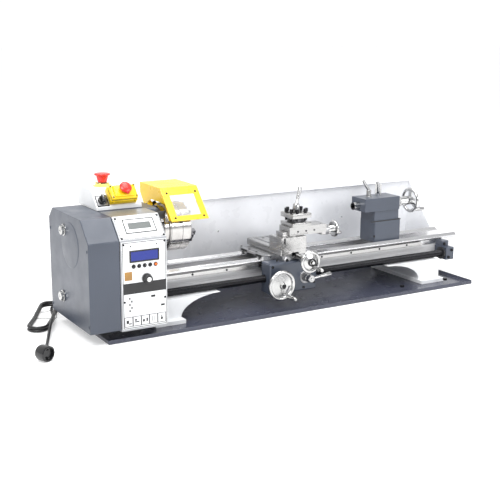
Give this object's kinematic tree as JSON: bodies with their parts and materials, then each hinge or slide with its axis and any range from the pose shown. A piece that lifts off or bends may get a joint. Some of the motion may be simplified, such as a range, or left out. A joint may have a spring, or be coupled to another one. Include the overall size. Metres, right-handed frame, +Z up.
{
  "type": "bench metal lathe",
  "caption": "Bench metal lathe with a three-jaw chuck, carriage with compound slide, tailstock, chuck guard, control panel, chip tray and mains lead.",
  "frame": {"origin": "on the floor under the middle of the machine", "axes": "+X along the bed from headstock to tailstock, -Y towards the operator, +Z up"},
  "size_m": [1.3592, 0.437, 0.372],
  "materials": {
    "grey_paint": "satin blue-grey enamel",
    "tray_paint": "semi-gloss dark blue-grey enamel",
    "white_paint": "white enamel, light orange peel",
    "white_panel": "printed white panel with thin black borders",
    "guard_sheet": "light grey painted sheet",
    "housing_sheet": "brushed satin sheet",
    "yellow_paint": "bright yellow gloss paint",
    "yellow_plastic": "moulded yellow plastic",
    "red_plastic": "moulded red plastic",
    "orange_plastic": "moulded orange plastic",
    "black_plastic": "moulded black plastic",
    "black_rubber": "matt black rubber",
    "ground_steel": "ground steel",
    "cast_iron": "machined cast iron",
    "blackened_steel": "blackened steel",
    "polished_steel": "polished turned steel",
    "aluminium": "turned and polished aluminium",
    "motor_black": "black painted motor case",
    "clear_window": "clear polycarbonate",
    "display": "blue backlit display"
  },
  "bodies": {
    "machine": {"chip_tray": "tray_paint", "splash_guard": "guard_sheet", "left_foot": "white_paint", "right_foot": "white_paint", "bed": "cast_iron", "rack": "ground_steel", "headstock": "grey_paint", "front_bearing": "ground_steel", "rear_bearing": "ground_steel", "motor": "motor_black", "drive_belt": "black_rubber", "gear_quadrant": "ground_steel", "control_housing": "housing_sheet", "control_panel": "white_panel", "switch_housing": "white_paint", "stop_switch_box": "yellow_plastic", "leadscrew_bracket": "grey_paint", "cord_gland": "black_plastic", "mains_cord": "black_rubber", "mains_cord_hank": "black_rubber", "mains_plug": "black_plastic"},
    "end_cover": {"end_cover": "grey_paint"},
    "cover_knob_upper": {"cover_knob_upper": "aluminium"},
    "cover_knob_lower": {"cover_knob_lower": "aluminium"},
    "spindle": {"spindle": "ground_steel", "spindle_gear": "ground_steel", "chuck_body": "polished_steel"},
    "jaw_1": {"jaw_1": "blackened_steel"},
    "jaw_2": {"jaw_2": "blackened_steel"},
    "jaw_3": {"jaw_3": "blackened_steel"},
    "motor_rotor": {"motor_pulley": "ground_steel"},
    "idler": {"idler_gear": "ground_steel"},
    "leadscrew": {"leadscrew": "blackened_steel", "leadscrew_gear": "ground_steel"},
    "carriage": {"saddle": "cast_iron", "apron": "grey_paint"},
    "apron_handwheel": {"apron_handwheel": "aluminium"},
    "half_nut_lever": {"half_nut_lever": "ground_steel"},
    "cross_slide": {"cross_slide": "ground_steel"},
    "cross_feed_handwheel": {"cross_feed_handwheel": "aluminium"},
    "compound": {"compound_base": "ground_steel"},
    "top_slide": {"top_slide": "ground_steel"},
    "top_slide_handwheel": {"top_slide_handwheel": "aluminium"},
    "toolpost": {"toolpost": "ground_steel"},
    "toolpost_lever": {"toolpost_lever": "ground_steel"},
    "tailstock": {"tailstock_body": "grey_paint"},
    "quill": {"quill": "polished_steel"},
    "tailstock_handwheel": {"tailstock_handwheel": "polished_steel"},
    "quill_lock_lever": {"quill_lock_lever": "ground_steel"},
    "tailstock_clamp_lever": {"tailstock_clamp_lever": "ground_steel"},
    "chuck_guard": {"chuck_guard": "yellow_paint"},
    "e_stop_button": {"e_stop_button": "red_plastic"},
    "stop_switch_lid": {"stop_switch_lid": "yellow_plastic"},
    "rotary_switch": {"rotary_switch": "black_plastic"},
    "speed_knob": {"speed_knob": "black_plastic"},
    "button_1": {"button_1": "black_plastic"},
    "button_2": {"button_2": "black_plastic"},
    "button_3": {"button_3": "black_plastic"},
    "button_4": {"button_4": "black_plastic"},
    "button_5": {"button_5": "orange_plastic"}
  },
  "joints": [
    {"name": "end_cover_slide", "type": "slide", "parent": "machine", "child": "end_cover", "axis": [-1, 0, 0], "range_m": [0, 0.08]},
    {"name": "cover_knob_upper_turn", "type": "hinge", "parent": "end_cover", "child": "cover_knob_upper", "pos_m": [-0.605, 0.006, 0.252], "axis": [-1, 0, 0], "range_deg": [0, 720]},
    {"name": "cover_knob_lower_turn", "type": "hinge", "parent": "end_cover", "child": "cover_knob_lower", "pos_m": [-0.605, 0.025, 0.086], "axis": [-1, 0, 0], "range_deg": [0, 720]},
    {"name": "spindle_spin", "type": "hinge", "parent": "machine", "child": "spindle", "pos_m": [0, 0.035, 0.227], "axis": [1, 0, 0], "continuous": true},
    {"name": "jaw_1_slide", "type": "slide", "parent": "spindle", "child": "jaw_1", "axis": [0, 0, 1], "range_m": [-0.0135, 0.003]},
    {"name": "jaw_2_slide", "type": "slide", "parent": "spindle", "child": "jaw_2", "axis": [0, -0.866, -0.5], "range_m": [-0.0135, 0.003]},
    {"name": "jaw_3_slide", "type": "slide", "parent": "spindle", "child": "jaw_3", "axis": [0, 0.866, -0.5], "range_m": [-0.0135, 0.003]},
    {"name": "motor_spin", "type": "hinge", "parent": "machine", "child": "motor_rotor", "pos_m": [0, 0.062, 0.164], "axis": [1, 0, 0], "continuous": true},
    {"name": "idler_spin", "type": "hinge", "parent": "machine", "child": "idler", "pos_m": [0, 0.00713, 0.15254], "axis": [1, 0, 0], "continuous": true},
    {"name": "leadscrew_spin", "type": "hinge", "parent": "machine", "child": "leadscrew", "pos_m": [0, -0.043, 0.076], "axis": [1, 0, 0], "continuous": true},
    {"name": "carriage_slide", "type": "slide", "parent": "machine", "child": "carriage", "axis": [1, 0, 0], "range_m": [-0.135, 0.18]},
    {"name": "apron_handwheel_turn", "type": "hinge", "parent": "carriage", "child": "apron_handwheel", "pos_m": [-0.055, -0.091, 0.066], "axis": [0, 1, 0], "range_deg": [-2560, 3413]},
    {"name": "half_nut_lever_turn", "type": "hinge", "parent": "carriage", "child": "half_nut_lever", "pos_m": [0.034, -0.073, 0.074], "axis": [0, -1, 0], "range_deg": [0, 40]},
    {"name": "cross_slide_slide", "type": "slide", "parent": "carriage", "child": "cross_slide", "axis": [0, 1, 0], "range_m": [-0.05, 0.03]},
    {"name": "cross_feed_handwheel_turn", "type": "hinge", "parent": "carriage", "child": "cross_feed_handwheel", "pos_m": [0.008, -0.128, 0.13], "axis": [0, 1, 0], "range_deg": [-9003, 5403]},
    {"name": "compound_swivel", "type": "hinge", "parent": "cross_slide", "child": "compound", "pos_m": [0.01, -0.028, 0.182], "axis": [0, 0, 1], "range_deg": [-90, 38]},
    {"name": "top_slide_slide", "type": "slide", "parent": "compound", "child": "top_slide", "axis": [1, 0, 0], "range_m": [-0.02, 0.02]},
    {"name": "top_slide_handwheel_turn", "type": "hinge", "parent": "top_slide", "child": "top_slide_handwheel", "pos_m": [0.15, -0.028, 0.185], "axis": [1, 0, 0], "range_deg": [-4802, 4802]},
    {"name": "toolpost_turn", "type": "hinge", "parent": "top_slide", "child": "toolpost", "pos_m": [0.03, -0.028, 0.207], "axis": [0, 0, 1], "continuous": true},
    {"name": "toolpost_lever_turn", "type": "hinge", "parent": "toolpost", "child": "toolpost_lever", "pos_m": [0.03, -0.028, 0.242], "axis": [0, 0, 1], "range_deg": [0, 90]},
    {"name": "tailstock_slide", "type": "slide", "parent": "machine", "child": "tailstock", "axis": [1, 0, 0], "range_m": [-0.1, 0.17]},
    {"name": "quill_slide", "type": "slide", "parent": "tailstock", "child": "quill", "axis": [-1, 0, 0], "range_m": [0, 0.05]},
    {"name": "tailstock_handwheel_turn", "type": "hinge", "parent": "tailstock", "child": "tailstock_handwheel", "pos_m": [0.47, 0.035, 0.227], "axis": [1, 0, 0], "range_deg": [0, 9003]},
    {"name": "quill_lock_turn", "type": "hinge", "parent": "tailstock", "child": "quill_lock_lever", "pos_m": [0.32, 0.035, 0.25], "axis": [0, 0, 1], "range_deg": [0, 60]},
    {"name": "tailstock_clamp_turn", "type": "hinge", "parent": "tailstock", "child": "tailstock_clamp_lever", "pos_m": [0.392, 0.07, 0.16], "axis": [0, 1, 0], "range_deg": [-40, 25]},
    {"name": "chuck_guard_swing", "type": "hinge", "parent": "machine", "child": "chuck_guard", "pos_m": [-0.353, 0.088, 0.276], "axis": [-1, 0, 0], "range_deg": [0, 50]},
    {"name": "e_stop_press", "type": "slide", "parent": "machine", "child": "e_stop_button", "axis": [0, 0, -1], "range_m": [0, 0.005]},
    {"name": "stop_switch_lid_swing", "type": "hinge", "parent": "machine", "child": "stop_switch_lid", "pos_m": [-0.458, 0.0091, 0.34381], "axis": [-1, 0, 0], "range_deg": [0, 100]},
    {"name": "rotary_switch_turn", "type": "hinge", "parent": "machine", "child": "rotary_switch", "pos_m": [-0.508, 0.00226, 0.31364], "axis": [0, -0.7433, 0.669], "range_deg": [-45, 45]},
    {"name": "speed_knob_turn", "type": "hinge", "parent": "machine", "child": "speed_knob", "pos_m": [-0.464, -0.1481, 0.151], "axis": [0, -1, 0], "range_deg": [0, 270]},
    {"name": "button_1_press", "type": "slide", "parent": "machine", "child": "button_1", "axis": [0, 1, 0], "range_m": [0, 0.0011], "stiffness_N_per_m": 300},
    {"name": "button_2_press", "type": "slide", "parent": "machine", "child": "button_2", "axis": [0, 1, 0], "range_m": [0, 0.0011], "stiffness_N_per_m": 300},
    {"name": "button_3_press", "type": "slide", "parent": "machine", "child": "button_3", "axis": [0, 1, 0], "range_m": [0, 0.0011], "stiffness_N_per_m": 300},
    {"name": "button_4_press", "type": "slide", "parent": "machine", "child": "button_4", "axis": [0, 1, 0], "range_m": [0, 0.0011], "stiffness_N_per_m": 300},
    {"name": "button_5_press", "type": "slide", "parent": "machine", "child": "button_5", "axis": [0, 1, 0], "range_m": [0, 0.0011], "stiffness_N_per_m": 300}
  ],
  "couplings": [
    {"joint": "jaw_2_slide", "follows": "jaw_1_slide", "ratio": 1},
    {"joint": "jaw_3_slide", "follows": "jaw_1_slide", "ratio": 1},
    {"joint": "motor_spin", "follows": "spindle_spin", "ratio": 2.1429},
    {"joint": "idler_spin", "follows": "spindle_spin", "ratio": -0.43243},
    {"joint": "leadscrew_spin", "follows": "spindle_spin", "ratio": 0.66667},
    {"joint": "apron_handwheel_turn", "follows": "carriage_slide", "rad_per_m": 330.69},
    {"joint": "cross_feed_handwheel_turn", "follows": "cross_slide_slide", "rad_per_m": 3141.6},
    {"joint": "top_slide_handwheel_turn", "follows": "top_slide_slide", "rad_per_m": 4188.8},
    {"joint": "tailstock_handwheel_turn", "follows": "quill_slide", "rad_per_m": 3141.6}
  ]
}
